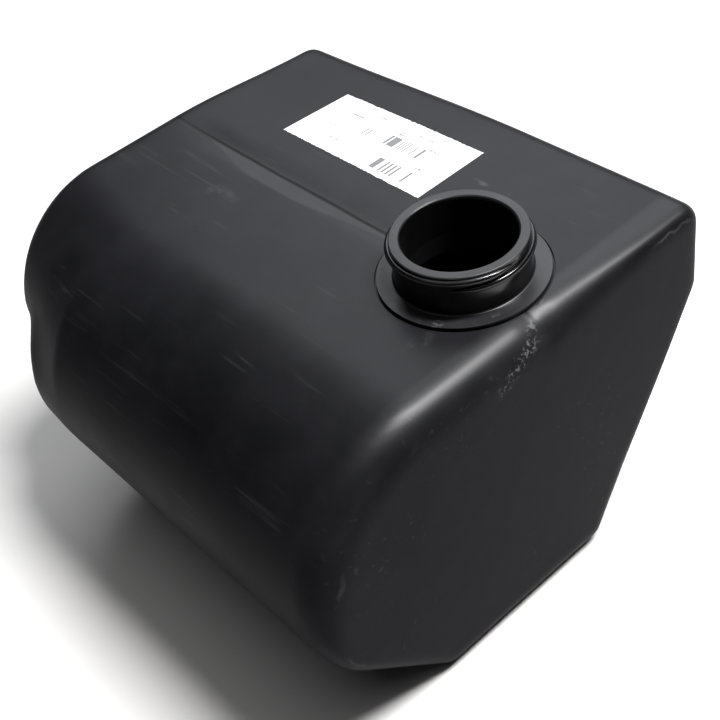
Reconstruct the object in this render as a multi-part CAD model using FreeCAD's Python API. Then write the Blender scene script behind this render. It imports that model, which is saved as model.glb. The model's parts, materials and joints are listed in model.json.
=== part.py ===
"""Hydraulic reservoir: a moulded plastic tank with its filler neck, port inserts,
suction strainer, return diffuser, level sight and drain plug.

Frame: millimetres, +Z up, +X towards the short end beside the filler neck, +Y towards
the back wall.  The origin is on the flat base, straight below the filler neck's axis.
"""
import FreeCAD, Part
import math
import os

Vector = FreeCAD.Vector

# ---------------------------------------------------------------- tank body
body_height = 226.0            # base to top plane
near_end_x = 70.0              # end wall beside the filler neck
far_end_x = -301.5             # end wall of the overhanging upper part
set_back_x = -248.0            # lower end wall, set back to leave room for hoses
blend_start_x = -205.0         # where the upper part starts to narrow towards the far end
back_y = 136.0                 # vertical part of the back wall
back_wall_drop = 64.0          # how far that vertical part reaches down from the top
base_back_y = 35.5             # back edge of the flat base
base_front_y = -111.0          # front edge of the flat base
front_y = -197.0               # front wall
far_front_y = -160.0           # front of the upper part at its far end
overhang_below_curve = 8.0     # underside of the upper part, below the start of the top curve
shoulder_z = 150.0             # top of the lower part beyond the blend
front_flat = 1.2               # straight piece between the two front curves
front_round_radius = 84.0      # curve from the front wall into the sloping underside
knee_radius = 18.0             # the other corners of the cross-section
top_back_radius = 13.0
overhang_radius = 26.0
end_edge_radius = 12.0         # edges between the cross-section and the end walls
wall = 5.0
cavity_edge_min = 3.0          # smallest inside edge radius

# ---------------------------------------------------------------- filler neck
neck_flange_radius = 52.5
neck_flange_height = 1.5
neck_radius = 41.6
neck_bore_radius = 34.3
neck_height = 28.9             # top plane to rim
neck_spigot_radius = 38.5
neck_spigot_length = 11.0
neck_lip_chamfer = 1.2
neck_foot_groove = 0.8         # shadow groove under the flange's edge
thread_ridge = 2.8             # how far the cap thread stands out
thread_ridge_height = 3.4
thread_pitch = 5.5
thread_turns = 1.16
thread_below_rim = 2.9         # rim to the middle of the ridge's upper end
thread_start_angle = -52.0     # degrees round from +X, at its lower end

# ---------------------------------------------------------------- label
label_length = 137.5
label_width = 61.4
label_thickness = 0.3
label_x = -142.8
label_y = 63.7

# ---------------------------------------------------------------- moulded-in inserts
boss_wall = 6.0                # plastic around an insert
boss_cover = 5.0               # plastic over a blind insert's end
insert_waist = 1.5             # depth of the ring groove that holds an insert
suction_y, suction_z = -39.0, 56.0
suction_thread_radius = 19.48
suction_insert_metal = 7.52    # brass between a thread and the outside of its insert
suction_insert_length = 30.0
suction_thread_depth = 15.0
return_y, return_z = 40.0, 76.0
three_quarter_thread_radius = 12.06
return_insert_metal = 3.94
return_insert_length = 28.0
return_thread_depth = 14.0
case_drain_y, case_drain_z = -125.0, 76.0
half_inch_thread_radius = 9.32
case_drain_insert_metal = 4.68
case_drain_insert_length = 22.0
drain_x, drain_y = -40.0, -39.0
drain_pocket_margin = 6.5      # around the plug's head
drain_pocket_depth = 12.0
drain_insert_metal = 5.68
drain_insert_length = 22.0
sight_x = -115.0
sight_below_top = 36.0
sight_insert_metal = 4.94
sight_insert_length = 14.0
mount_thread_radius = 4.25
mount_insert_metal = 4.75
mount_insert_length = 22.0
mount_thread_depth = 18.0
mount_spacing_x = 230.0
mount_spacing_y = 90.0
mount_centre_x, mount_centre_y = -90.0, -39.0

# ---------------------------------------------------------------- what fits into them
thread_clearance = 0.05        # radial, between a male thread and its insert
running_clearance = 0.06       # radial, stem in its guide
seat_gap = 0.05                # closed valve to its seat
strainer_nipple_radius = 15.145
strainer_nipple_bore = 11.5
strainer_hex_across = 50.0
strainer_hex_thickness = 10.0
strainer_cap_lip = 3.0         # how far the end plates stand out past the tube
strainer_cap_thickness = 3.0
strainer_tube_radius = 28.0
strainer_tube_wall = 1.2
strainer_tube_length = 112.0
strainer_hole_radius = 4.6
strainer_hole_rows = 8
strainer_holes_around = 10
mesh_gap = 0.1
mesh_thickness = 0.6
bypass_port_radius = 9.0
poppet_overlap = 3.0           # how far the poppet covers its seat
poppet_thickness = 2.5
poppet_stem_radius = 2.5
poppet_stem_margin = 2.0       # stem left past its guide when the valve is fully open
poppet_travel = 6.0
cage_depth = 22.0
cage_plate_thickness = 2.0
cage_plate_radius = 9.0
cage_leg_gap = 3.0             # poppet edge to the legs
cage_leg_width = 4.0
cage_leg_count = 3
spring_radius = 6.0
spring_wire = 1.2
spring_turns = 6
spring_wire_sides = 12         # the round wire is drawn with this many flats
diffuser_nipple_radius = 9.32
diffuser_nipple_bore = 7.0
diffuser_hex_across = 30.0
diffuser_hex_thickness = 10.0
diffuser_tube_radius = 17.0
diffuser_tube_wall = 1.5
diffuser_tube_length = 150.0
diffuser_slot_width = 3.0
diffuser_slot_rows = 9
diffuser_slots_around = 6
diffuser_cap_thickness = 4.0
plug_head_overlap = 5.18       # head beyond the thread
plug_head_thickness = 6.5
plug_shank_length = 16.0
plug_socket_across = 8.0
plug_socket_depth = 5.0
washer_thickness = 1.5
washer_side_gap = 0.4          # washer hole to the plug's thread
magnet_radius = 4.0
magnet_depth = 4.0
magnet_height = 6.0
sight_hex_across = 34.0
sight_hex_thickness = 7.0
sight_window_radius = 8.0
lens_ledge = 3.0               # width of the step that the lens rests on
lens_thickness = 4.0
reflector_thickness = 0.6
reflector_set_back = 1.0
sight_seal_thickness = 1.6
sight_seal_width = 3.54        # seal beyond its hole

os.makedirs("parts", exist_ok=True)

suction_insert_radius = suction_thread_radius + suction_insert_metal
return_insert_radius = three_quarter_thread_radius + return_insert_metal
case_drain_insert_radius = half_inch_thread_radius + case_drain_insert_metal
drain_insert_radius = half_inch_thread_radius + drain_insert_metal
sight_insert_radius = three_quarter_thread_radius + sight_insert_metal
mount_insert_radius = mount_thread_radius + mount_insert_metal
strainer_cap_radius = strainer_tube_radius + strainer_cap_lip
poppet_radius = bypass_port_radius + poppet_overlap
cage_leg_radius = poppet_radius + cage_leg_gap + cage_leg_width / 2
poppet_stem_length = cage_depth + cage_plate_thickness + poppet_travel + poppet_stem_margin
lens_radius = sight_window_radius + lens_ledge
plug_head_radius = half_inch_thread_radius + plug_head_overlap
drain_pocket_radius = plug_head_radius + drain_pocket_margin
sight_z = body_height - sight_below_top
sight_seal_radius = three_quarter_thread_radius + washer_side_gap + sight_seal_width
chamfer_height = base_front_y - front_y
top_front_radius = body_height - chamfer_height - front_flat - front_round_radius * math.tan(math.pi / 8)
overhang_z = body_height - top_front_radius - overhang_below_curve
far_top_radius = body_height - overhang_z - overhang_radius - front_flat
back_knee_z = body_height - back_wall_drop


# ---------------------------------------------------------------- helpers
def write(shape, name):
    """Save one sub-part and print what it measures."""
    box = shape.optimalBoundingBox(False)
    shape.exportStep("parts/" + name + ".step")
    size = "%.1f x %.1f x %.1f" % (box.XLength, box.YLength, box.ZLength)
    print(name, "solids", len(shape.Solids), "size", size, "volume", round(shape.Volume, 1), shape.isValid())


def inset(points, distance):
    """Move every side of a closed outline inwards by the same distance."""
    moved = []
    count = len(points)
    lines = []
    for index in range(count):
        start, end = points[index], points[(index + 1) % count]
        length = math.hypot(end[0] - start[0], end[1] - start[1])
        along = ((end[0] - start[0]) / length, (end[1] - start[1]) / length)
        inward = (-along[1], along[0])
        shifted = (start[0] + inward[0] * distance, start[1] + inward[1] * distance)
        lines.append((shifted, along))
    for index in range(count):
        (p, u), (q, v) = lines[index - 1], lines[index]
        cross = u[0] * v[1] - u[1] * v[0]
        step = ((q[0] - p[0]) * v[1] - (q[1] - p[1]) * v[0]) / cross
        moved.append((p[0] + u[0] * step, p[1] + u[1] * step))
    return moved


def rounded_outline(points, radii, x):
    """Closed wire in the plane X = x through (y, z) corners, each rounded to its radius."""
    count = len(points)
    arcs = []
    for index in range(count):
        corner = Vector(x, *points[index])
        before = (Vector(x, *points[index - 1]) - corner).normalize()
        after = (Vector(x, *points[(index + 1) % count]) - corner).normalize()
        half = before.getAngle(after) / 2
        reach = radii[index] / math.tan(half)
        middle = (before + after).normalize()
        bulge = corner + middle * (radii[index] / math.sin(half) - radii[index])
        arcs.append((corner + before * reach, bulge, corner + after * reach))
    edges = []
    for index in range(count):
        edges.append(Part.LineSegment(arcs[index - 1][2], arcs[index][0]).toShape())
        edges.append(Part.Arc(*arcs[index]).toShape())
    return Part.Wire(edges)


def round_end(solid, x, radius):
    """Round every edge of the solid that lies in the plane X = x."""
    edges = []
    for edge in solid.Edges:
        box = edge.BoundBox
        if abs(box.XMin - x) < 1e-4 and abs(box.XMax - x) < 1e-4:
            edges.append(edge)
    return solid.makeFillet(radius, edges)


def slab(x0, x1, y0, y1, z0, z1):
    return Part.makeBox(x1 - x0, y1 - y0, z1 - z0, Vector(x0, y0, z0))


def rod(radius, length, start, direction):
    return Part.makeCylinder(radius, length, start, direction)


def tube(outer, inner, length, start, direction):
    return rod(outer, length, start, direction).cut(rod(inner, length, start, direction))


def hexagon(across, thickness, start, direction):
    """Hexagonal prism with flats the given distance apart."""
    corner_radius = across / math.sqrt(3)
    points = []
    for index in range(7):
        angle = math.radians(60 * index)
        points.append(Vector(corner_radius * math.cos(angle), corner_radius * math.sin(angle), 0))
    prism = Part.Face(Part.makePolygon(points)).extrude(Vector(0, 0, thickness))
    prism.Placement = FreeCAD.Placement(start, FreeCAD.Rotation(Vector(0, 0, 1), direction))
    return prism


def insert_blank(radius, length, start, direction):
    """Outside of a moulded-in insert: a rod with a ring groove that the plastic fills."""
    blank = rod(radius, length, start, direction)
    groove_start = start + direction * (length / 3)
    groove = tube(radius, radius - insert_waist, length / 3, groove_start, direction)
    return blank.cut(groove)


# ---------------------------------------------------------------- tank body
def section_points():
    return [
        (back_y, body_height),
        (front_y, body_height),
        (front_y, chamfer_height),
        (base_front_y, 0),
        (base_back_y, 0),
        (back_y, back_knee_z),
    ]


def section_radii():
    return [top_back_radius, top_front_radius, front_round_radius, knee_radius, knee_radius, knee_radius]


def overhang_points(front):
    slope = (back_y - base_back_y) / back_knee_z
    under_back_y = base_back_y + slope * overhang_z
    return [
        (back_y, body_height),
        (front, body_height),
        (front, overhang_z),
        (under_back_y, overhang_z),
        (back_y, back_knee_z),
    ]


def overhang_radii(top_radius, under_radius):
    return [top_back_radius, top_radius, under_radius, knee_radius, knee_radius]


def shrink(radii, depth):
    return [max(radius - depth, cavity_edge_min) for radius in radii]


def body_form(depth):
    """The tank's form, with every wall moved inwards by depth."""
    edge = max(end_edge_radius - depth, cavity_edge_min)
    points = inset(section_points(), depth)
    radii = shrink(section_radii(), depth)
    main_wire = rounded_outline(points, radii, near_end_x - depth)
    length = near_end_x - depth - blend_start_x
    main = Part.Face(main_wire).extrude(Vector(-length, 0, 0))
    main = round_end(main, near_end_x - depth, edge)

    lower_end = set_back_x + depth
    lower_wire = rounded_outline(points, radii, lower_end)
    lower = Part.Face(lower_wire).extrude(Vector(blend_start_x - lower_end, 0, 0))
    lower = round_end(lower, lower_end, edge)
    lower = lower.common(slab(lower_end - 1, blend_start_x + 1, front_y - 1, back_y + 1, -1, shoulder_z - depth))

    room = overhang_below_curve - depth
    near_radii = shrink(overhang_radii(top_front_radius, overhang_below_curve - front_flat), depth)
    near_radii[2] = min(near_radii[2], 0.9 * room)
    far_radii = shrink(overhang_radii(far_top_radius, overhang_radius), depth)
    near_wire = rounded_outline(inset(overhang_points(front_y), depth), near_radii, blend_start_x)
    far_wire = rounded_outline(inset(overhang_points(far_front_y), depth), far_radii, far_end_x + depth)
    upper = Part.makeLoft([near_wire, far_wire], True, True)
    upper = round_end(upper, far_end_x + depth, edge)
    return main.fuse([lower, upper]).removeSplitter()


def port_bosses():
    """Plastic thickened around each insert, on the inside of the walls."""
    inward = Vector(1, 0, 0)
    up = Vector(0, 0, 1)
    bosses = [
        rod(suction_insert_radius + boss_wall, suction_insert_length,
            Vector(set_back_x, suction_y, suction_z), inward),
        rod(return_insert_radius + boss_wall, return_insert_length,
            Vector(set_back_x, return_y, return_z), inward),
        rod(case_drain_insert_radius + boss_wall, case_drain_insert_length,
            Vector(set_back_x, case_drain_y, case_drain_z), inward),
        rod(drain_pocket_radius + boss_wall, drain_pocket_depth + wall, Vector(drain_x, drain_y, 0), up),
        rod(drain_insert_radius + boss_wall, drain_pocket_depth + drain_insert_length,
            Vector(drain_x, drain_y, 0), up),
        rod(sight_insert_radius + boss_wall, sight_insert_length,
            Vector(sight_x, back_y, sight_z), Vector(0, -1, 0)),
    ]
    for x, y in mount_places():
        bosses.append(rod(mount_insert_radius + boss_wall, mount_insert_length + boss_cover, Vector(x, y, 0), up))
    return bosses


def mount_places():
    places = []
    for side_x in (-1, 1):
        for side_y in (-1, 1):
            x = mount_centre_x + side_x * mount_spacing_x / 2
            y = mount_centre_y + side_y * mount_spacing_y / 2
            places.append((x, y))
    return places


def insert_blanks():
    """Outside of every insert, by name."""
    inward = Vector(1, 0, 0)
    up = Vector(0, 0, 1)
    blanks = {
        "suction": insert_blank(suction_insert_radius, suction_insert_length,
                                Vector(set_back_x, suction_y, suction_z), inward),
        "return": insert_blank(return_insert_radius, return_insert_length,
                               Vector(set_back_x, return_y, return_z), inward),
        "case_drain": insert_blank(case_drain_insert_radius, case_drain_insert_length,
                                   Vector(set_back_x, case_drain_y, case_drain_z), inward),
        "drain": insert_blank(drain_insert_radius, drain_insert_length,
                              Vector(drain_x, drain_y, drain_pocket_depth), up),
        "sight": insert_blank(sight_insert_radius, sight_insert_length,
                              Vector(sight_x, back_y, sight_z), Vector(0, -1, 0)),
    }
    for number, (x, y) in enumerate(mount_places()):
        blanks["mount%d" % number] = insert_blank(mount_insert_radius, mount_insert_length, Vector(x, y, 0), up)
    return blanks


def tank_shell(blanks):
    """The whole moulding, with its cavity, bosses, neck hole and insert seats."""
    outside = body_form(0)
    cavity = body_form(wall)
    bosses = port_bosses()
    shell = outside.cut(cavity).fuse(bosses[0].fuse(bosses[1:]).common(outside))
    shell = shell.cut(rod(drain_pocket_radius, drain_pocket_depth, Vector(drain_x, drain_y, 0), Vector(0, 0, 1)))
    shell = shell.cut(rod(neck_spigot_radius, wall + 2, Vector(0, 0, body_height - wall - 1), Vector(0, 0, 1)))
    for blank in blanks.values():
        shell = shell.cut(blank)
    return shell.removeSplitter()


def behind_back_wall():
    """Everything beyond the inside of the back wall and of the slope below it."""
    points = inset(section_points(), wall)
    knee, foot = points[5], points[4]
    reach = 50.0
    slope = (knee[0] - foot[0]) / (knee[1] - foot[1])
    outline = [
        Vector(far_end_x - 1, knee[0], body_height),
        Vector(far_end_x - 1, knee[0], knee[1]),
        Vector(far_end_x - 1, foot[0] - slope * reach, foot[1] - reach),
        Vector(far_end_x - 1, back_y + reach, foot[1] - reach),
        Vector(far_end_x - 1, back_y + reach, body_height),
        Vector(far_end_x - 1, knee[0], body_height),
    ]
    return Part.Face(Part.makePolygon(outline)).extrude(Vector(near_end_x - far_end_x + 2, 0, 0))


def tank_walls(shell):
    """Cut the moulding into its walls, each along an inside face, so that each one's collision stays thin."""
    low_x, high_x = far_end_x - 1, near_end_x + 1
    low_y, high_y = front_y - 1, back_y + 1
    up = Vector(0, 0, 1)
    base_zone = slab(low_x, high_x, low_y, high_y, -1, wall)
    drain_top = drain_pocket_depth + drain_insert_length
    posts = [rod(drain_pocket_radius + boss_wall, drain_top, Vector(drain_x, drain_y, 0), up)]
    for x, y in mount_places():
        posts.append(rod(mount_insert_radius + boss_wall, mount_insert_length + boss_cover, Vector(x, y, 0), up))
    sight_post = rod(sight_insert_radius + boss_wall, sight_insert_length,
                     Vector(sight_x, back_y, sight_z), Vector(0, -1, 0))
    longest = max(suction_insert_length, return_insert_length, case_drain_insert_length)
    port_zone = slab(set_back_x - 1, set_back_x + wall, low_y, high_y, -1, overhang_z)
    for y, z, radius in ((suction_y, suction_z, suction_insert_radius), (return_y, return_z, return_insert_radius),
                         (case_drain_y, case_drain_z, case_drain_insert_radius)):
        port_zone = port_zone.fuse(rod(radius + boss_wall, longest, Vector(set_back_x, y, z), Vector(1, 0, 0)))
    zones = [
        ("tank_near_end_wall", slab(near_end_x - wall, high_x, low_y, high_y, -1, body_height + 1)),
        ("tank_base", base_zone.fuse(posts)),
        ("tank_top_wall", slab(low_x, high_x, low_y, high_y, body_height - wall, body_height + 1)),
        ("tank_port_wall", port_zone),
        ("tank_back_wall", behind_back_wall().fuse(sight_post)),
        ("tank_front_wall", slab(blend_start_x, high_x, low_y, high_y, -1, body_height + 1)),
    ]
    rest = shell
    for name, zone in zones:
        write(rest.common(zone).removeSplitter(), name)
        rest = rest.cut(zone)
    write(rest.removeSplitter(), "tank_far_end")


# ---------------------------------------------------------------- filler neck and label
def cap_thread():
    """One coarse ridge that winds down from just under the rim."""
    height = thread_pitch * thread_turns
    top = body_height + neck_height - thread_below_rim
    root = neck_radius - 0.4
    helix = Part.makeHelix(thread_pitch, height, root)
    half = thread_ridge_height / 2
    crest = neck_radius + thread_ridge
    points = [
        Vector(root, 0, -half),
        Vector(crest - 0.8, 0, -half * 0.45),
        Vector(crest, 0, 0),
        Vector(crest - 0.8, 0, half * 0.45),
        Vector(root, 0, half),
        Vector(root, 0, -half),
    ]
    profile = Part.makePolygon(points)
    ridge = Part.Wire(helix).makePipeShell([profile], True, True)
    ridge = ridge.copy()
    ridge.rotate(Vector(0, 0, 0), Vector(0, 0, 1), thread_start_angle)
    ridge.translate(Vector(0, 0, top - height))
    return ridge


def filler_neck():
    up = Vector(0, 0, 1)
    top = body_height + neck_height
    neck = rod(neck_radius, neck_height, Vector(0, 0, body_height), up)
    lip_edges = [edge for edge in neck.Edges if abs(edge.BoundBox.ZMin - top) < 1e-4]
    neck = neck.makeFillet(neck_lip_chamfer, lip_edges)
    flange = rod(neck_flange_radius, neck_flange_height, Vector(0, 0, body_height), up)
    groove = tube(neck_flange_radius, neck_flange_radius - neck_foot_groove, neck_flange_height / 2,
                  Vector(0, 0, body_height), up)
    spigot = rod(neck_spigot_radius, neck_spigot_length, Vector(0, 0, body_height - neck_spigot_length), up)
    body = neck.fuse([flange.cut(groove), spigot, cap_thread()])
    length = neck_height + neck_spigot_length
    bore = rod(neck_bore_radius, length + 2, Vector(0, 0, body_height - neck_spigot_length - 1), up)
    mouth = Part.makeCone(neck_bore_radius, neck_bore_radius + neck_lip_chamfer, neck_lip_chamfer,
                          Vector(0, 0, top - neck_lip_chamfer), up)
    return body.cut(bore).cut(mouth).removeSplitter()


def parts_label():
    return slab(label_x - label_length / 2, label_x + label_length / 2,
                label_y - label_width / 2, label_y + label_width / 2,
                body_height, body_height + label_thickness)


# ---------------------------------------------------------------- inserts
def stepped_insert(blank, start, length, outer_bore, outer_depth, inner_bore):
    """Insert with a wide thread outside and a narrower one inside."""
    inward = Vector(1, 0, 0)
    solid = blank.cut(rod(outer_bore, outer_depth, start, inward))
    return solid.cut(rod(inner_bore, length, start, inward))


def port_inserts(blanks):
    suction_start = Vector(set_back_x, suction_y, suction_z)
    return_start = Vector(set_back_x, return_y, return_z)
    case_start = Vector(set_back_x, case_drain_y, case_drain_z)
    write(stepped_insert(blanks["suction"], suction_start, suction_insert_length, suction_thread_radius,
                         suction_thread_depth, strainer_nipple_radius), "suction_port_insert")
    write(stepped_insert(blanks["return"], return_start, return_insert_length, three_quarter_thread_radius,
                         return_thread_depth, diffuser_nipple_radius), "return_port_insert")
    write(blanks["case_drain"].cut(rod(half_inch_thread_radius, case_drain_insert_length, case_start,
                                       Vector(1, 0, 0))), "case_drain_port_insert")
    write(blanks["drain"].cut(rod(half_inch_thread_radius, drain_insert_length,
                                  Vector(drain_x, drain_y, drain_pocket_depth), Vector(0, 0, 1))),
          "drain_port_insert")
    write(blanks["sight"].cut(rod(three_quarter_thread_radius, sight_insert_length,
                                  Vector(sight_x, back_y, sight_z), Vector(0, -1, 0))), "level_sight_insert")
    anchors = []
    for number, (x, y) in enumerate(mount_places()):
        hole = rod(mount_thread_radius, mount_thread_depth, Vector(x, y, 0), Vector(0, 0, 1))
        anchors.append(blanks["mount%d" % number].cut(hole))
    write(Part.makeCompound(anchors), "mounting_inserts")


# ---------------------------------------------------------------- suction strainer
def strainer():
    inward = Vector(1, 0, 0)
    axis_start = Vector(set_back_x, suction_y, suction_z)
    inner_face = set_back_x + suction_insert_length
    hex_start = Vector(inner_face, suction_y, suction_z)
    plate_start = hex_start + inward * strainer_hex_thickness
    tube_start = plate_start + inward * strainer_cap_thickness
    tube_end = tube_start + inward * strainer_tube_length

    nipple_length = suction_insert_length - suction_thread_depth
    nipple = rod(strainer_nipple_radius - thread_clearance, nipple_length,
                 axis_start + inward * suction_thread_depth, inward)
    collar = nipple.fuse([
        hexagon(strainer_hex_across, strainer_hex_thickness, hex_start, inward),
        rod(strainer_cap_radius, strainer_cap_thickness, plate_start, inward),
    ])
    way = nipple_length + strainer_hex_thickness + strainer_cap_thickness
    collar = collar.cut(rod(strainer_nipple_bore, way, axis_start + inward * suction_thread_depth, inward))
    write(collar.removeSplitter(), "strainer_collar")

    support = tube(strainer_tube_radius, strainer_tube_radius - strainer_tube_wall, strainer_tube_length,
                   tube_start, inward)
    drills = []
    spacing = strainer_tube_length / strainer_hole_rows
    for row in range(strainer_hole_rows):
        centre = tube_start + inward * (spacing * (row + 0.5))
        for place in range(strainer_holes_around // 2):
            angle = 2 * math.pi * (place + 0.5 * (row % 2)) / strainer_holes_around
            across = Vector(0, math.cos(angle), math.sin(angle))
            reach = strainer_tube_radius + 1
            drills.append(rod(strainer_hole_radius, 2 * reach, centre - across * reach, across))
    write(support.cut(drills), "strainer_support_tube")

    mesh_inner = strainer_tube_radius + mesh_gap
    write(tube(mesh_inner + mesh_thickness, mesh_inner, strainer_tube_length, tube_start, inward),
          "strainer_mesh_sleeve")

    cap = rod(strainer_cap_radius, strainer_cap_thickness, tube_end, inward)
    cap = cap.cut(rod(bypass_port_radius, strainer_cap_thickness, tube_end, inward))
    write(cap, "strainer_end_cap")
    bypass_valve(tube_end)


def bypass_valve(seat):
    """Poppet inside the end cap, held shut by a spring in a three-legged cage."""
    back = Vector(-1, 0, 0)
    disc_start = seat + back * seat_gap
    disc = rod(poppet_radius, poppet_thickness, disc_start, back)
    stem = rod(poppet_stem_radius, poppet_stem_length, disc_start, back)
    write(disc.fuse(stem), "bypass_poppet")

    plate_start = seat + back * cage_depth
    plate = rod(cage_plate_radius, cage_plate_thickness, plate_start, back)
    foot_start = seat + back * cage_plate_thickness
    foot_ring = tube(cage_leg_radius + cage_leg_width / 2, cage_leg_radius - cage_leg_width / 2,
                     cage_plate_thickness, foot_start, Vector(1, 0, 0))
    pieces = [foot_ring]
    for number in range(cage_leg_count):
        angle = 360 * number / cage_leg_count
        leg = slab(plate_start.x - cage_plate_thickness, seat.x, -cage_leg_width / 2, cage_leg_width / 2,
                   cage_leg_radius - cage_leg_width / 4, cage_leg_radius + cage_leg_width / 4)
        arm = slab(plate_start.x - cage_plate_thickness, plate_start.x, -cage_leg_width / 2, cage_leg_width / 2,
                   cage_plate_radius - 1, cage_leg_radius + cage_leg_width / 4)
        for piece in (leg, arm):
            piece.rotate(Vector(0, 0, 0), Vector(1, 0, 0), angle)
            piece.translate(Vector(0, seat.y, seat.z))
            pieces.append(piece)
    cage = plate.fuse(pieces)
    guide = rod(poppet_stem_radius + running_clearance, cage_plate_thickness, plate_start, back)
    write(cage.cut(guide).removeSplitter(), "bypass_spring_cage")

    length = cage_depth - seat_gap - poppet_thickness - spring_wire
    pitch = length / spring_turns
    helix = Part.makeHelix(pitch, length, spring_radius)
    sides = []
    for index in range(spring_wire_sides + 1):
        angle = 2 * math.pi * (index + 0.5) / spring_wire_sides
        reach = spring_wire / 2 / math.cos(math.pi / spring_wire_sides)
        sides.append(Vector(spring_radius + reach * math.cos(angle), 0, reach * math.sin(angle)))
    spring = Part.Wire(helix).makePipeShell([Part.makePolygon(sides)], True, True)
    turn = FreeCAD.Rotation(Vector(0, 0, 1), Vector(1, 0, 0))
    spring.Placement = FreeCAD.Placement(plate_start + Vector(spring_wire / 2, 0, 0), turn)
    write(spring, "bypass_spring")


# ---------------------------------------------------------------- return diffuser
def diffuser():
    inward = Vector(1, 0, 0)
    nipple_start = Vector(set_back_x + return_thread_depth, return_y, return_z)
    nipple_length = return_insert_length - return_thread_depth
    hex_start = Vector(set_back_x + return_insert_length, return_y, return_z)
    tube_start = hex_start + inward * diffuser_hex_thickness
    tube_end = tube_start + inward * diffuser_tube_length
    inner_radius = diffuser_tube_radius - diffuser_tube_wall
    nipple = rod(diffuser_nipple_radius - thread_clearance, nipple_length, nipple_start, inward).fuse([
        hexagon(diffuser_hex_across, diffuser_hex_thickness, hex_start, inward),
        rod(inner_radius, diffuser_cap_thickness, tube_start, inward),
    ])
    way = nipple_length + diffuser_hex_thickness + diffuser_cap_thickness
    write(nipple.cut(rod(diffuser_nipple_bore, way, nipple_start, inward)).removeSplitter(), "diffuser_nipple")

    pipe = tube(diffuser_tube_radius, inner_radius, diffuser_tube_length, tube_start, inward)
    cuts = []
    slot_length = diffuser_tube_length / (diffuser_slot_rows + 1) * 0.6
    for row in range(diffuser_slot_rows):
        x = tube_start.x + diffuser_tube_length * (row + 1) / (diffuser_slot_rows + 1)
        for place in range(diffuser_slots_around):
            slot = slab(x - slot_length / 2, x + slot_length / 2, -diffuser_slot_width / 2,
                        diffuser_slot_width / 2, inner_radius - 2, diffuser_tube_radius + 2)
            slot.rotate(Vector(0, 0, 0), Vector(1, 0, 0), 360 * (place + 0.5 * (row % 2)) / diffuser_slots_around)
            slot.translate(Vector(0, return_y, return_z))
            cuts.append(slot)
    write(pipe.cut(cuts), "diffuser_tube")

    cap = rod(diffuser_tube_radius, diffuser_cap_thickness / 2, tube_end, inward).fuse(
        rod(inner_radius, diffuser_cap_thickness, tube_end + Vector(-diffuser_cap_thickness, 0, 0), inward))
    write(cap.removeSplitter(), "diffuser_end_cap")


# ---------------------------------------------------------------- drain plug
def drain_plug():
    down = Vector(0, 0, -1)
    seat = Vector(drain_x, drain_y, drain_pocket_depth)
    washer_inner = half_inch_thread_radius + washer_side_gap
    write(tube(plug_head_radius, washer_inner, washer_thickness, seat, down), "drain_plug_washer")

    head_start = seat + down * washer_thickness
    head = rod(plug_head_radius, plug_head_thickness, head_start, down)
    head_bottom = head_start + down * plug_head_thickness
    rim = [edge for edge in head.Edges if abs(edge.BoundBox.ZMax - head_bottom.z) < 1e-4]
    head = head.makeFillet(1.0, rim)
    shank_radius = half_inch_thread_radius - thread_clearance
    shank = rod(shank_radius, plug_shank_length + washer_thickness, head_start, Vector(0, 0, 1))
    plug = head.fuse(shank)
    plug = plug.cut(hexagon(plug_socket_across, plug_socket_depth, head_bottom, Vector(0, 0, 1)))
    tip = seat + Vector(0, 0, plug_shank_length)
    plug = plug.cut(rod(magnet_radius, magnet_depth, tip, down))
    write(plug.removeSplitter(), "drain_plug")
    write(rod(magnet_radius, magnet_height, tip + down * magnet_depth, Vector(0, 0, 1)), "drain_plug_magnet")


# ---------------------------------------------------------------- level sight
def level_sight():
    outward = Vector(0, 1, 0)
    seal_start = Vector(sight_x, back_y, sight_z)
    hex_start = seal_start + outward * sight_seal_thickness
    shank_radius = three_quarter_thread_radius - thread_clearance
    shank_start = seal_start - outward * sight_insert_length
    total = sight_insert_length + sight_seal_thickness + sight_hex_thickness
    write(tube(sight_seal_radius, three_quarter_thread_radius + washer_side_gap, sight_seal_thickness,
               seal_start, outward), "level_sight_seal")
    body = hexagon(sight_hex_across, sight_hex_thickness, hex_start, outward)
    body = body.fuse(rod(shank_radius, sight_insert_length + sight_seal_thickness, shank_start, outward))
    body = body.cut(rod(sight_window_radius, total, shank_start, outward))
    lens_start = hex_start + outward * (sight_hex_thickness - lens_thickness - reflector_set_back)
    pocket = rod(lens_radius, lens_thickness + reflector_set_back, lens_start, outward)
    write(body.cut(pocket).removeSplitter(), "level_sight_body")
    write(rod(lens_radius, lens_thickness, lens_start, outward), "level_sight_lens")
    disc = rod(sight_window_radius, reflector_thickness, lens_start - outward * (reflector_thickness + 4), outward)
    window = slab(sight_x - 1.5, sight_x + 1.5, shank_start.y, lens_start.y,
                  sight_z - sight_window_radius * 0.6, sight_z + sight_window_radius * 0.6)
    write(disc.cut(window), "level_sight_reflector")


blank_shapes = insert_blanks()
tank_walls(tank_shell(blank_shapes))
write(filler_neck(), "filler_neck")
write(parts_label(), "parts_label")
port_inserts(blank_shapes)
strainer()
diffuser()
drain_plug()
level_sight()
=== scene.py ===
# %% [markdown]
# # A moulded hydraulic reservoir
# The tank is a hollow shell of black polyethylene.  A glossy threaded neck stands on its
# top, a printed label lies beside it, and the hose ports, strainer and drain plug are
# brass, steel and aluminium pieces fitted into the walls.  The engineering model is
# loaded first and never moved: everything made here is placed from its sizes.

# %% Load the engineering model
import json
import math
import bmesh
import bpy
import numpy as np
from mathutils import Matrix, Vector


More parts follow.
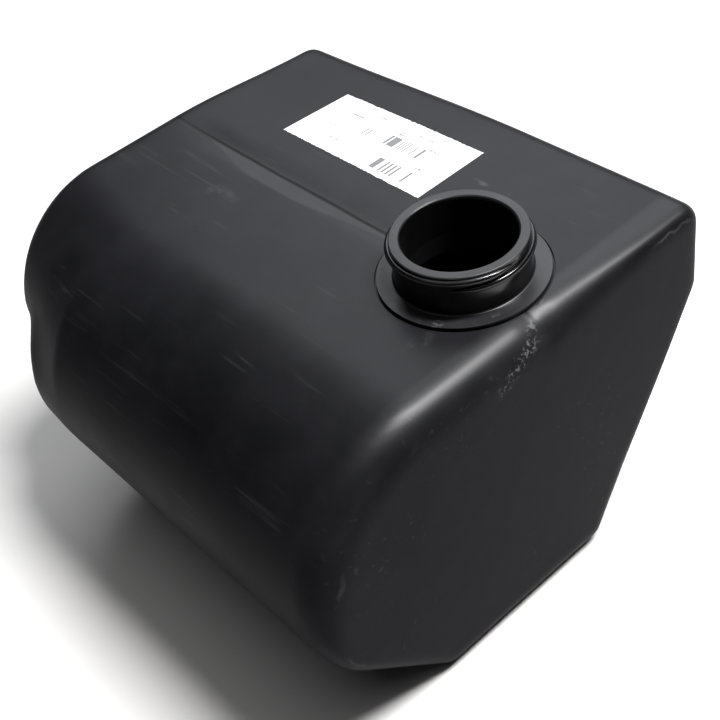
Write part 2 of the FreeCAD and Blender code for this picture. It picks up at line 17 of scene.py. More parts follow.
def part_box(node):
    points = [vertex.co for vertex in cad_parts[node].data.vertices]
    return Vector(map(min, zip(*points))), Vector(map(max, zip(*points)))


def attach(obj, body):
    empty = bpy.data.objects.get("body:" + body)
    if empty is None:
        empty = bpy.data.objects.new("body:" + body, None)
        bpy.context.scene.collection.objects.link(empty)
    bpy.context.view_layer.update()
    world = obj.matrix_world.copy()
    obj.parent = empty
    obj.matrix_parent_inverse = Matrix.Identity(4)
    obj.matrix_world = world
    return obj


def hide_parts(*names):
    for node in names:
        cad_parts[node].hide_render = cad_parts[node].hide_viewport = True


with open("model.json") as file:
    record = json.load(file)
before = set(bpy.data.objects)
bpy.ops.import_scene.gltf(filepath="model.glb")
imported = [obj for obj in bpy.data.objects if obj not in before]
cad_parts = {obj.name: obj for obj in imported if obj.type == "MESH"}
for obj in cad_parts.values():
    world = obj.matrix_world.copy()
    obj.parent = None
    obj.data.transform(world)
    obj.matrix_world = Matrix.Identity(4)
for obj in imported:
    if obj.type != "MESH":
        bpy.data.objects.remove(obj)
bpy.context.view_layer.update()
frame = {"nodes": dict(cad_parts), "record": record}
MM = 0.001

# %% [markdown]
# Every place comes from the boxes of the engineering nodes.  Reading them once and
# giving them names keeps the rest of the file free of loose numbers.

# %% Sizes read from the model
TANK_WALLS = ["tank_top_wall", "tank_base", "tank_front_wall", "tank_back_wall",
              "tank_near_end_wall", "tank_port_wall", "tank_far_end"]


def joint_box(nodes):
    """Lowest and highest corner of several nodes together."""
    boxes = [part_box(node) for node in nodes]
    low = Vector([min(low[axis] for low, _ in boxes) for axis in range(3)])
    high = Vector([max(high[axis] for _, high in boxes) for axis in range(3)])
    return low, high


tank_low, tank_high = joint_box(TANK_WALLS)
neck_low, neck_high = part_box("filler_neck")
label_low, label_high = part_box("parts_label")
suction_low, suction_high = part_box("suction_port_insert")
top_z = tank_high.z
front_y = tank_low.y
back_y = tank_high.y
near_x = tank_high.x
far_x = tank_low.x
set_back_x = suction_low.x
FLANGE_RADIUS = (neck_high.x - neck_low.x) / 2
BORE_RADIUS = 34.3 * MM
print("top", round(top_z, 4), "set back", round(set_back_x, 4))


# %% [markdown]
# Node trees are easier to read as sums.  `Signal` wraps one output socket, and its
# operators add the Math nodes, so `1 - mask * 2` builds three nodes.  `Board` holds the
# tree, and its `add` is the one way to place any other kind of node.

# %% Sums written as Python
class Signal:
    """One output socket that can be used in a sum."""

    def __init__(self, board, socket):
        self.board = board
        self.socket = socket

    def math(self, operation, *others):
        values = dict(enumerate((self,) + others))
        return self.board.add("ShaderNodeMath", {"operation": operation}, values)

    def __add__(self, other):
        return self.math("ADD", other)

    def __radd__(self, other):
        return self.math("ADD", other)

    def __mul__(self, other):
        return self.math("MULTIPLY", other)

    def __rmul__(self, other):
        return self.math("MULTIPLY", other)

    def __sub__(self, other):
        return self.math("SUBTRACT", other)

    def __neg__(self):
        return self.math("MULTIPLY", -1.0)

    def __rsub__(self, other):
        return (-self).math("ADD", other)

    def __truediv__(self, other):
        return self.math("DIVIDE", other)

    def __abs__(self):
        return self.math("ABSOLUTE")

    def maximum(self, other):
        return self.math("MAXIMUM", other)

    def minimum(self, other):
        return self.math("MINIMUM", other)

    def sqrt(self):
        return self.math("SQRT")

    def ramp(self, low, high, to_low=0.0, to_high=1.0, shape="SMOOTHSTEP"):
        """Goes from to_low to to_high as this signal goes from low to high."""
        values = {"Value": self, "From Min": low, "From Max": high, "To Min": to_low, "To Max": to_high}
        return self.board.add("ShaderNodeMapRange", {"interpolation_type": shape}, values)


class Board:
    """A node tree, with one way to add a node."""

    def __init__(self, tree):
        self.tree = tree

    def add(self, kind, settings=None, values=None, out=0):
        node = self.tree.nodes.new(kind)
        for name, value in (settings or {}).items():
            setattr(node, name, value)
        for key, value in (values or {}).items():
            if isinstance(value, Signal):
                self.tree.links.new(value.socket, node.inputs[key])
            else:
                node.inputs[key].default_value = value
        return Signal(self, node.outputs[out])

    def split(self, vector):
        """The X, Y and Z of a vector signal."""
        node = self.tree.nodes.new("ShaderNodeSeparateXYZ")
        self.tree.links.new(vector.socket, node.inputs[0])
        return [Signal(self, output) for output in node.outputs]


print("signals ready")

# %% [markdown]
# A form tree is a geometry tree whose inputs are sizes with names.  `shape_tree` makes
# one, and `grow` runs it on an empty object and keeps only the finished mesh, because
# the finished piece must be plain: no live modifier, no instances.


# %% Geometry trees with named sizes
def shape_tree(name, sizes, build):
    """Make a geometry tree.  build(board, inputs) returns the geometry signal."""
    tree = bpy.data.node_groups.new(name, "GeometryNodeTree")
    tree.interface.new_socket("Geometry", in_out="OUTPUT", socket_type="NodeSocketGeometry")
    for label, default in sizes.items():
        kind = "NodeSocketInt" if isinstance(default, int) else "NodeSocketFloat"
        socket = tree.interface.new_socket(label, in_out="INPUT", socket_type=kind)
        socket.default_value = default
    material = tree.interface.new_socket("Material", in_out="INPUT", socket_type="NodeSocketMaterial")
    board = Board(tree)
    entry = tree.nodes.new("NodeGroupInput")
    inputs = {socket.name: Signal(board, socket) for socket in entry.outputs if socket.name}
    made = build(board, inputs)
    real = board.add("GeometryNodeRealizeInstances", None, {"Geometry": made})
    painted = board.add("GeometryNodeSetMaterial", None, {"Geometry": real, "Material": inputs["Material"]})
    tree.links.new(painted.socket, tree.nodes.new("NodeGroupOutput").inputs[0])
    tree["material_input"] = material.identifier
    return tree


def grow(name, tree, material, sizes=None):
    """Run a geometry tree once and return its result as a plain mesh object."""
    seed = bpy.data.objects.new(name + "_seed", bpy.data.meshes.new(name + "_seed"))
    bpy.context.scene.collection.objects.link(seed)
    modifier = seed.modifiers.new("form", "NODES")
    modifier.node_group = tree
    for item in tree.interface.items_tree:
        if item.in_out == "INPUT" and sizes and item.name in sizes:
            modifier[item.identifier] = sizes[item.name]
    modifier[tree["material_input"]] = material
    bpy.context.view_layer.update()
    graph = bpy.context.evaluated_depsgraph_get()
    mesh = bpy.data.meshes.new_from_object(seed.evaluated_get(graph))
    bpy.data.objects.remove(seed)
    mesh.materials.clear()
    mesh.materials.append(material)
    mesh.polygons.foreach_set("material_index", [0] * len(mesh.polygons))
    piece = bpy.data.objects.new(name, mesh)
    bpy.context.scene.collection.objects.link(piece)
    print(name, "faces", len(mesh.polygons))
    return piece


# %% [markdown]
# Round pieces are turned, like work on a lathe.  A profile is a closed list of
# (radius, height, rounding) corners; each rounding becomes a small arc, so no edge is
# perfectly sharp and every rim catches a thin highlight, as real ones do.

# %% Turned pieces
def rounded_loop(corners, steps=5):
    """Replace every corner of a closed outline by a small arc."""
    points = []
    count = len(corners)
    for index in range(count):
        corner = Vector(corners[index][:2])
        before = Vector(corners[index - 1][:2]) - corner
        after = Vector(corners[(index + 1) % count][:2]) - corner
        rounding = corners[index][2]
        if rounding <= 0:
            points.append(corner)
            continue
        half = before.angle(after) / 2
        reach = min(rounding / math.tan(half), before.length * 0.49, after.length * 0.49)
        start = corner + before.normalized() * reach
        end = corner + after.normalized() * reach
        for step in range(steps + 1):
            t = step / steps
            points.append(start * (1 - t) ** 2 + corner * 2 * t * (1 - t) + end * t ** 2)
    return points


def axis_turn(axis):
    """Rotation that takes +Z to the given axis."""
    return Vector((0, 0, 1)).rotation_difference(Vector(axis)).to_matrix().to_4x4()


def finish_mesh(name, bm, material, sharp_deg=35):
    """Merge doubles, point the faces outwards, smooth all but the sharp edges."""
    bmesh.ops.remove_doubles(bm, verts=bm.verts, dist=1e-6)
    bmesh.ops.recalc_face_normals(bm, faces=bm.faces)
    mesh = bpy.data.meshes.new(name)
    bm.to_mesh(mesh)
    bm.free()
    piece = bpy.data.objects.new(name, mesh)
    bpy.context.scene.collection.objects.link(piece)
    soften(piece, sharp_deg)
    mesh.materials.append(material)
    return piece


def soften(piece, sharp_deg=35):
    """Shade smooth, but keep an edge crisp where its faces turn more than sharp_deg."""
    bm = bmesh.new()
    bm.from_mesh(piece.data)
    for face in bm.faces:
        face.smooth = True
    for edge in bm.edges:
        edge.smooth = len(edge.link_faces) == 2 and edge.calc_face_angle(0) < math.radians(sharp_deg)
    bm.to_mesh(piece.data)
    bm.free()


def turned(name, corners, place, axis, material, segments=96):
    """Turn a closed profile round an axis.  Corner heights are along the axis."""
    bm = bmesh.new()
    loop = rounded_loop(corners)
    rings = []
    for segment in range(segments):
        angle = 2 * math.pi * segment / segments
        ring = [bm.verts.new((p.x * math.cos(angle), p.x * math.sin(angle), p.y)) for p in loop]
        rings.append(ring)
    for segment in range(segments):
        near, far = rings[segment], rings[(segment + 1) % segments]
        for index in range(len(loop)):
            after = (index + 1) % len(loop)
            corners4 = [near[index], far[index], far[after], near[after]]
            bm.faces.new(corners4)
    bmesh.ops.remove_doubles(bm, verts=bm.verts, dist=1e-6)
    bmesh.ops.dissolve_degenerate(bm, edges=bm.edges, dist=1e-7)
    bm.transform(Matrix.Translation(place) @ axis_turn(axis))
    return finish_mesh(name, bm, material)


print("lathe ready")

# %% [markdown]
# ## Finishes
# Moulded polyethylene is never one flat black.  It is a little cloudy, its gloss comes
# and goes, and handling leaves pale scuffs and fine scratches.  The clouds steer colour
# and roughness; the scratches are stretched noise, so they run in a few directions.
# The top and the rounded edges are smoother than the flat end, which a thin coat shows.
# The neck's bore is made near black, because little light comes back out of a deep tank.


# %% A material and its board
def new_finish(name, **sockets):
    """A Principled material.  Plain numbers go straight onto the shader's sockets."""
    material = bpy.data.materials.new(name)
    material.use_nodes = True
    board = Board(material.node_tree)
    shader = next(node for node in material.node_tree.nodes if node.type == "BSDF_PRINCIPLED")
    for key, value in sockets.items():
        shader.inputs[key.replace("_", " ")].default_value = value
    return material, board, shader


def feed(board, shader, socket, signal):
    board.tree.links.new(signal.socket, shader.inputs[socket])


def place_of(board, scale=(1, 1, 1), turn=(0, 0, 0), shift=(0, 0, 0)):
    """Object coordinates, stretched, turned or shifted by a Mapping node."""
    coordinate = board.add("ShaderNodeTexCoord", out=3)
    return board.add("ShaderNodeMapping", None,
                     {"Vector": coordinate, "Scale": scale, "Rotation": turn, "Location": shift})


def noise(board, vector, scale, detail=2.0, roughness=0.5, distortion=0.0):
    return board.add("ShaderNodeTexNoise", None, {"Vector": vector, "Scale": scale, "Detail": detail,
                                                  "Roughness": roughness, "Distortion": distortion})


def mix_colour(board, factor, first, second):
    return board.add("ShaderNodeMix", {"data_type": "RGBA"}, {0: factor, 6: first, 7: second}, out=2)


def bump(board, height, strength, distance, normal=None):
    values = {"Height": height, "Strength": strength, "Distance": distance}
    if normal:
        values["Normal"] = normal
    return board.add("ShaderNodeBump", None, values)


def scratches(board, turn, length_scale, width_scale, low, high, seed):
    """Fine scratches in one direction: noise squeezed across and stretched along."""
    vector = place_of(board, (length_scale, width_scale, width_scale), (turn * 0.4, turn * 0.7, turn), seed)
    streaks = noise(board, vector, 1.0, 3.0, 0.55)
    gate = noise(board, place_of(board, shift=seed), 9.0, 2.0, 0.6).ramp(0.50, 0.66)
    return streaks.ramp(low, high) * gate


# %% Black tank plastic
PLASTIC_DARK = (0.0085, 0.0087, 0.0108, 1)
PLASTIC_CLOUD_AND_SHEEN = (0.0185, 0.0185, 0.0220, 1)
SCUFF_AND_SHEEN_GREY = (0.13, 0.13, 0.135, 1)
CREASE_SHADE_BLACK = (0.0015, 0.0015, 0.002, 1)
PARTING_Y = -3 * MM
LENS_FAR_TIP = -258 * MM
LENS_WIDEST_FROM = -185 * MM
LENS_WIDEST_TO = -150 * MM
LENS_NEAR_TIP = -55 * MM
LENS_WIDTH = 14 * MM
TOP_MARK = (-54 * MM, 69.6 * MM)
FRONT_MARK = (24 * MM, -58 * MM)
FAR_MARK = (-188 * MM, -42 * MM)


def near_point(board, x, y, place, size):
    """1 at a place on the top face, fading to 0 at the given half sizes."""
    across = (x - place[0]) / size[0]
    along = (y - place[1]) / size[1]
    return (across * across + along * along).sqrt().ramp(1.0, 0.35)


def tank_plastic():
    material, board, shader = new_finish("tank_plastic", IOR=1.13, Coat_IOR=1.40, Coat_Roughness=0.40)
    plain = place_of(board)
    x, y, z = board.split(plain)
    cloud = noise(board, plain, 6.0, 3.0, 0.55, 0.4).ramp(0.30, 0.72)
    fine_cloud = noise(board, plain, 30.0, 4.0, 0.6).ramp(0.35, 0.70)
    speck = noise(board, plain, 260.0, 4.0, 0.75)
    rubs = scratches(board, 0.55, 11.0, 190.0, 0.60, 0.74, (3, 1, 0))
    rubs = rubs.maximum(scratches(board, -0.35, 14.0, 240.0, 0.61, 0.75, (7, 4, 2)))
    rubs = rubs.maximum(scratches(board, 1.25, 9.0, 210.0, 0.62, 0.76, (1, 8, 5)))

    on_top = z.ramp(top_z - 9 * MM, top_z - 4 * MM)
    outside_neck = (x * x + y * y).sqrt().ramp(51 * MM, 53 * MM)
    wander = (noise(board, place_of(board, (1, 0.01, 0.01)), 14.0, 1.0) - 0.5) * 2.4 * MM
    from_line = abs(y - PARTING_Y + wander)
    fade_in = x.ramp(far_x + 8 * MM, far_x + 60 * MM, 0.45, 1.0)
    # Painted shade: the parting crease is also coloured near black along this line, standing for the shade
    # in its narrow valley, besides the valley in the form and the groove bump.
    line = from_line.ramp(1.5 * MM, 0.5 * MM) * on_top * outside_neck * fade_in
    # Painted sheen: the band on both sides of the crease and the lens on its near side stand for light
    # caught by the valley's flanks, and are mixed in below as a paler grey.
    sheen_band_painted = from_line.ramp(16 * MM, 9 * MM) * on_top * x.ramp(far_x + 40 * MM, far_x + 95 * MM)
    near_side = PARTING_Y - y
    lens_width = x.ramp(LENS_FAR_TIP, LENS_WIDEST_FROM, 1 * MM, LENS_WIDTH)
    lens_width = lens_width * x.ramp(LENS_NEAR_TIP, LENS_WIDEST_TO, 0.3, 1.0)
    sheen_lens_painted = near_side.ramp(0.8 * MM, 2.0 * MM) * on_top
    sheen_lens_painted = sheen_lens_painted * (near_side - lens_width).ramp(1.5 * MM, -1.0 * MM)

    along_edge = z - top_z + 8 * MM - (y + 8 * MM) * 0.42 + (noise(board, plain, 60.0) - 0.5) * 8 * MM
    patch = abs(along_edge).ramp(7 * MM, 2 * MM) * y.ramp(-50 * MM, -40 * MM) * y.ramp(0.0, -8 * MM)
    patch = patch * x.ramp(near_x - 18 * MM, near_x - 10 * MM)
    trimmed = patch * speck.ramp(0.52, 0.60)
    edge_wobble = (noise(board, plain, 120.0, 3.0) - 0.5) * 2.2 * MM
    edge_line = abs(x - near_x + 1.3 * MM + edge_wobble).ramp(0.5 * MM, 0.1 * MM) * z.ramp(60 * MM, 90 * MM)
    edge_line = edge_line * noise(board, plain, 22.0, 2.0).ramp(0.50, 0.62)

    marks = near_point(board, x, y, TOP_MARK, (10 * MM, 3 * MM))
    marks = marks.maximum(near_point(board, x, y, FRONT_MARK, (7 * MM, 16 * MM)) * 0.5)
    marks = marks.maximum(near_point(board, x, y, FAR_MARK, (22 * MM, 9 * MM)) * 0.6)
    marks = marks * on_top * noise(board, plain, 90.0, 4.0, 0.7).ramp(0.46, 0.66)
    scuff = (rubs * 0.16).maximum(trimmed * 0.9).maximum(marks * 0.35).maximum(edge_line * 0.3)

    body = mix_colour(board, cloud * 0.6 + fine_cloud * 0.4, PLASTIC_DARK, PLASTIC_CLOUD_AND_SHEEN)
    # The band and lens are painted sheen in a paler grey; the scuffs mixed in after them are real wear.
    painted_sheen = (sheen_band_painted * 0.06).maximum(sheen_lens_painted * 0.16)
    body = mix_colour(board, painted_sheen, body, SCUFF_AND_SHEEN_GREY)
    body = mix_colour(board, scuff, body, SCUFF_AND_SHEEN_GREY)
    # Painted shade: the crease line is mixed to near black here.
    feed(board, shader, "Base Color", mix_colour(board, line, body, CREASE_SHADE_BLACK))
    roughness = 0.40 + cloud * 0.07 + fine_cloud * 0.05 + scuff * 0.2 - sheen_band_painted * 0.04
    feed(board, shader, "Roughness", roughness.maximum(line * 0.8))
    polish = z.ramp(top_z - 34 * MM, top_z - 8 * MM) * (0.72 - cloud * 0.12)
    near_edge = x.ramp(near_x - 34 * MM, near_x - 20 * MM) * z.ramp(top_z - 60 * MM, top_z - 12 * MM)
    polish = polish.maximum(near_edge) * x.ramp(near_x - 1.5 * MM, near_x - 6 * MM)
    feed(board, shader, "Coat Weight", polish)
    grain = noise(board, plain, 900.0, 2.0, 0.6)
    skin = bump(board, grain, 0.08, 0.15 * MM)
    uneven = bump(board, noise(board, plain, 34.0, 2.0, 0.5), 0.25, 1.2 * MM, skin)
    marked = bump(board, rubs * 0.4 + patch * speck * 3.0 + edge_line, 0.35, 0.3 * MM, uneven)
    feed(board, shader, "Normal", bump(board, line, 0.9, -1.0 * MM, marked))
    return material


# %% Neck plastic
def neck_plastic():
    material, board, shader = new_finish("neck_plastic", IOR=1.58)
    plain = place_of(board)
    x, y, z = board.split(plain)
    flange = z.ramp(top_z + 3.2 * MM, top_z + 2.0 * MM)
    flange_side_painted_shade = (x * x + y * y).sqrt().ramp(FLANGE_RADIUS - 0.35 * MM, FLANGE_RADIUS - 0.1 * MM)
    rim = z.ramp(neck_high.z - 0.9 * MM, neck_high.z - 0.4 * MM)
    # The flange top and the rim are rougher satin, and are also painted lighter than the glossy barrel as
    # painted sheen for the sky they reflect.
    satin_and_painted_sheen = flange.maximum(rim)
    cloud = noise(board, plain, 40.0, 3.0, 0.5).ramp(0.35, 0.7)
    wear = noise(board, plain, 150.0, 3.0, 0.65).ramp(0.60, 0.74)
    nick = near_point(board, x, y, (22 * MM, -44 * MM), (5 * MM, 5 * MM))
    nick = nick * noise(board, plain, 330.0, 3.0).ramp(0.45, 0.6)
    body = mix_colour(board, cloud, (0.0035, 0.0035, 0.004, 1), (0.008, 0.008, 0.009, 1))
    # Painted sheen: the rim and flange tops are mixed towards the tank's lighter grey.
    body = mix_colour(board, satin_and_painted_sheen * 0.75, body, PLASTIC_CLOUD_AND_SHEEN)
    # Painted shade: the flange's side is mixed to near black, standing for the dark shaded line under its
    # edge.
    body = mix_colour(board, flange_side_painted_shade, body, (0.001, 0.001, 0.001, 1))
    pale = (wear * satin_and_painted_sheen * 0.12).maximum(nick * 0.6)
    feed(board, shader, "Base Color", mix_colour(board, pale, body, SCUFF_AND_SHEEN_GREY))
    gloss = satin_and_painted_sheen.ramp(0.0, 1.0, 0.16, 0.38) + cloud * 0.07 + wear * satin_and_painted_sheen * 0.12
    in_bore = (x * x + y * y).sqrt().ramp(BORE_RADIUS + 0.2 * MM, BORE_RADIUS - 0.2 * MM)
    in_bore = in_bore * z.ramp(neck_high.z - 1.2 * MM, neck_high.z - 2.4 * MM)
    feed(board, shader, "Metallic", in_bore)
    feed(board, shader, "Roughness", gloss.maximum(flange_side_painted_shade * 0.9).maximum(in_bore))
    feed(board, shader, "Normal", bump(board, noise(board, plain, 60.0, 2.0), 0.15, 0.6 * MM))
    return material


# %% Metals share one recipe
def metal(name, colour, low, high, grain_scale):
    """Bare metal: its gloss follows fine machining lines and slow tarnish."""
    material, board, shader = new_finish(name, Metallic=1.0)
    lines = noise(board, place_of(board), grain_scale, 3.0, 0.6)
    tarnish = noise(board, place_of(board), 60.0, 3.0, 0.6).ramp(0.35, 0.7)
    dull = tuple(channel * 0.72 for channel in colour) + (1,)
    feed(board, shader, "Base Color", mix_colour(board, tarnish * 0.6, colour + (1,), dull))
    feed(board, shader, "Roughness", low + (high - low) * lines + tarnish * 0.08)
    feed(board, shader, "Normal", bump(board, lines, 0.15, 0.1 * MM))
    return material


# %% [markdown]
# The label's print is drawn by sums on its own plane: a bar is a stretch along X where a
# stepped noise says ink, kept inside a small rectangle.  It reads as print, and says
# nothing.

# %% Printed label
label_centre = (label_low + label_high) / 2
label_length = label_high.x - label_low.x
label_width = label_high.y - label_low.y


def within(signal, low, high, soft=0.2 * MM):
    return signal.ramp(low - soft, low) * signal.ramp(high + soft, high)


def label_paper():
    material, board, shader = new_finish("label_paper", IOR=1.45)
    x, y, z = board.split(place_of(board, shift=tuple(-label_centre)))
    ink = None
    for middle_x, middle_y, length, height, bars in BAR_BLOCKS:
        cell = board.add("ShaderNodeTexWhiteNoise", {"noise_dimensions": "1D"},
                         {"W": (x * (bars / length)).math("FLOOR")})
        bar = cell.math("GREATER_THAN", 0.48)
        block = bar * within(x, middle_x - length / 2, middle_x + length / 2)
        block = block * within(y, middle_y - height / 2, middle_y + height / 2)
        ink = block if ink is None else ink.maximum(block)
    for middle_x, middle_y, length in RULED_MARKS:
        dashes = noise(board, place_of(board), 900.0, 1.0).math("GREATER_THAN", 0.47)
        mark = within(x, middle_x - length / 2, middle_x + length / 2) * within(y, middle_y - 0.6 * MM,
                                                                               middle_y + 0.6 * MM) * dashes
        ink = ink.maximum(mark)
    shade = noise(board, place_of(board), 25.0, 3.0)
    paper = mix_colour(board, shade, (0.80, 0.80, 0.79, 1), (0.75, 0.75, 0.74, 1))
    feed(board, shader, "Base Color", mix_colour(board, ink * 0.85, paper, (0.10, 0.10, 0.11, 1)))
    feed(board, shader, "Roughness", 0.42 + noise(board, place_of(board), 200.0) * 0.12)
    feed(board, shader, "Normal", bump(board, noise(board, place_of(board), 700.0, 3.0), 0.08, 0.1 * MM))
    return material


BAR_BLOCKS = (
    (18 * MM, 5 * MM, 34 * MM, 11 * MM, 31),
    (32 * MM, -19 * MM, 34 * MM, 12 * MM, 19),
    (-16 * MM, 3 * MM, 6 * MM, 9 * MM, 5),
)
RULED_MARKS = (
    (-36 * MM, 14 * MM, 14 * MM), (-20 * MM, 22 * MM, 10 * MM), (24 * MM, 20 * MM, 16 * MM),
    (40 * MM, 12 * MM, 12 * MM), (-44 * MM, -4 * MM, 12 * MM), (-30 * MM, -16 * MM, 10 * MM),
    (44 * MM, -8 * MM, 9 * MM), (6 * MM, 14 * MM, 12 * MM),
)

finishes = {
    "tank_plastic": tank_plastic(),
    "neck_plastic": neck_plastic(),
    "label_paper": label_paper(),
    "insert_brass": metal("insert_brass", (0.72, 0.52, 0.24), 0.22, 0.42, 300.0),
    "strainer_steel": metal("strainer_steel", (0.60, 0.60, 0.58), 0.20, 0.38, 220.0),
    "mesh_steel": metal("mesh_steel", (0.50, 0.50, 0.49), 0.25, 0.40, 400.0),
    "spring_steel": metal("spring_steel", (0.42, 0.42, 0.43), 0.22, 0.36, 500.0),
    "collar_aluminium": metal("collar_aluminium", (0.72, 0.73, 0.74), 0.24, 0.44, 350.0),
    "plug_steel": metal("plug_steel", (0.58, 0.56, 0.46), 0.22, 0.40, 300.0),
    "magnet_metal": metal("magnet_metal", (0.22, 0.22, 0.23), 0.30, 0.50, 300.0),
    "washer_copper": metal("washer_copper", (0.75, 0.40, 0.27), 0.24, 0.44, 300.0),
}


def rubber():
    material, board, shader = new_finish("seal_rubber")
    cloud = noise(board, place_of(board), 120.0, 3.0)
    colour = mix_colour(board, cloud, (0.010, 0.010, 0.010, 1), (0.022, 0.022, 0.022, 1))
    feed(board, shader, "Base Color", colour)
    feed(board, shader, "Roughness", 0.5 + cloud * 0.2)
    return material


def clear_lens():
    material, board, shader = new_finish("lens_clear", Transmission_Weight=0.9, IOR=1.5)
    haze = noise(board, place_of(board), 80.0, 3.0)
    feed(board, shader, "Base Color", mix_colour(board, haze, (0.90, 0.94, 0.92, 1), (0.84, 0.90, 0.88, 1)))
    feed(board, shader, "Roughness", 0.02 + haze * 0.06)
    return material


def white_reflector():
    material, board, shader = new_finish("reflector_white")
    cloud = noise(board, place_of(board), 100.0, 3.0)
    colour = mix_colour(board, cloud, (0.82, 0.82, 0.80, 1), (0.74, 0.74, 0.72, 1))
    feed(board, shader, "Base Color", colour)
    feed(board, shader, "Roughness", 0.35 + cloud * 0.15)
    return material


finishes["seal_rubber"] = rubber()
finishes["lens_clear"] = clear_lens()
finishes["reflector_white"] = white_reflector()
slot_of = {part["node"]: part["material_slot"] for part in frame["record"]["subparts"]}
for node, piece in frame["nodes"].items():
    piece.data.materials.clear()
    piece.data.materials.append(finishes[slot_of[node]])
print("finishes", len(finishes))

# %% [markdown]
# ## The tank's form
# The tank is a rule, not a drawing: it is everything that lies inside a handful of
# planes, with each pair of planes joined by a rounding.  A field that is negative inside
# and positive outside says that in a few lines, and a volume grid turns the field into a
# skin.  Wide roundings, the set-back at the far end and the soft shoulder above it then
# blend by themselves, which a cage of hand-placed faces does badly.  Near the front the
# overhang's underside is lifted and the set-back wall swells, which makes the two lobes
# that the far end shows from the front.

# %% Sizes of the form
BASE_FRONT = -111 * MM
BASE_BACK = 35.5 * MM
BACK_DROP = 64 * MM
TOP_FRONT_ROUND = 104 * MM
FAR_FRONT_ROUND = 84.8 * MM
FAR_FRONT_NARROWING = 37 * MM
BLEND_START = -205 * MM
OVERHANG_Z = top_z - 112 * MM
LOWER_END_DRAW_IN = 3 * MM
SLOPE_ROUND = 24.6 * MM
NEAR_ROUND = 22 * MM
NEAR_LOW_ROUND = 14 * MM
NEAR_BACK_ROUND = 10 * MM
OVERHANG_FRONT_LIFT = 24 * MM
SET_BACK_FRONT_SWELL = 11 * MM
FAR_ROUND = 13 * MM
WALL = 5 * MM
CORNER_DROOP = 8 * MM
WAVINESS = 0.5 * MM


def round_and(a, b, radius):
    """Inside both a and b, with a rounded edge where they meet."""
    over_a = (a + radius).maximum(0.0)
    over_b = (b + radius).maximum(0.0)
    corner = (over_a * over_a + over_b * over_b).sqrt()
    return a.maximum(b).minimum(-radius) + corner


def round_or(a, b, radius):
    """Inside a or b, with a rounded inner corner where they meet."""
    return -round_and(-a, -b, radius)


def tank_field(board, x, y, z):
    """Negative inside the tank, positive outside, about a distance near the skin."""
    droop = x.ramp(-70 * MM, far_x) * y.ramp(0.0, back_y, 0.0, CORNER_DROOP)
    top = z - top_z + droop
    towards_far_end = x.ramp(BLEND_START, far_x, shape="LINEAR")
    lower_part = z.ramp(176 * MM, 122 * MM) * x.ramp(-276 * MM, set_back_x)
    narrowing = towards_far_end * FAR_FRONT_NARROWING * (1 - lower_part)
    narrowing = narrowing + lower_part * x.ramp(BLEND_START, set_back_x, 0.0, LOWER_END_DRAW_IN)
    front = front_y + narrowing - y
    top_round = TOP_FRONT_ROUND - towards_far_end * (TOP_FRONT_ROUND - FAR_FRONT_ROUND)
    form = round_and(top, y - back_y, 13 * MM)
    form = round_and(form, front, top_round)
    slope = (BASE_FRONT - y - z) / math.sqrt(2)
    form = round_and(form, slope, SLOPE_ROUND)
    form = round_and(form, -z, 5.3 * MM)
    rise, run = top_z - BACK_DROP, back_y - BASE_BACK
    slant = ((y - BASE_BACK) * rise - z * run) / math.hypot(rise, run)
    form = round_and(form, slant, z.ramp(40 * MM, 120 * MM, 8.5 * MM, 4 * MM))
    near_round = y.ramp(110 * MM, -20 * MM, NEAR_BACK_ROUND, NEAR_ROUND)
    near_round = near_round.minimum(z.ramp(70 * MM, 150 * MM, NEAR_LOW_ROUND, NEAR_ROUND))
    form = round_and(form, x - near_x, near_round)
    form = round_and(form, far_x - x, FAR_ROUND)
    overhang_z = OVERHANG_Z + y.ramp(-95 * MM, -160 * MM, 0.0, OVERHANG_FRONT_LIFT)
    wall_x = set_back_x - y.ramp(-95 * MM, -165 * MM, 0.0, SET_BACK_FRONT_SWELL)
    set_back = round_or(wall_x - x, overhang_z - z, 9 * MM)
    return round_and(form, set_back, 20 * MM)


def tank_volume(board, inputs):
    position = board.add("GeometryNodeInputPosition")
    x, y, z = board.split(position)
    field = tank_field(board, x, y, z)
    slow = noise(board, position, 7.5, 1.0, 0.4)
    field = field + slow * inputs["Waviness"] * z.ramp(0.0, 25 * MM)
    on_top = z.ramp(top_z - 30 * MM, top_z - 12 * MM) * x.ramp(far_x + 10 * MM, far_x + 75 * MM)
    valley = abs(y - PARTING_Y).ramp(inputs["Valley half width"], 0.0, shape="LINEAR")
    valley = valley * inputs["Valley depth"]
    field = field + valley * on_top
    low = tank_low - Vector((1, 1, 1)) * 6 * MM
    high = tank_high + Vector((1, 1, 1)) * 6 * MM
    volume = board.add("GeometryNodeVolumeCube", None, {
        "Density": -field - inputs["Depth below skin"], "Background": -1.0, "Min": low, "Max": high,
        "Resolution X": inputs["Cells X"], "Resolution Y": inputs["Cells Y"],
        "Resolution Z": inputs["Cells Z"]})
    return board.add("GeometryNodeVolumeToMesh", None, {"Volume": volume, "Threshold": 0.0})


form_tree = shape_tree("tank_form", {
    "Depth below skin": 0.0, "Waviness": WAVINESS, "Valley depth": 1.9 * MM, "Valley half width": 14 * MM,
    "Cells X": 64, "Cells Y": 58, "Cells Z": 40}, tank_volume)


def cells(size):
    """Grid cells along each side for a cell of this size."""
    span = tank_high - tank_low + Vector((12, 12, 12)) * MM
    return {"Cells X": int(span.x / size), "Cells Y": int(span.y / size), "Cells Z": int(span.z / size)}


SKIN_CELL = 2.7 * MM
skin = grow("tank_shell_skin", form_tree, finishes["tank_plastic"], cells(SKIN_CELL))
cavity = grow("tank_cavity", form_tree, finishes["tank_plastic"],
              {**cells(5.5 * MM), "Depth below skin": WALL, "Waviness": 0.0, "Valley depth": 0.0})


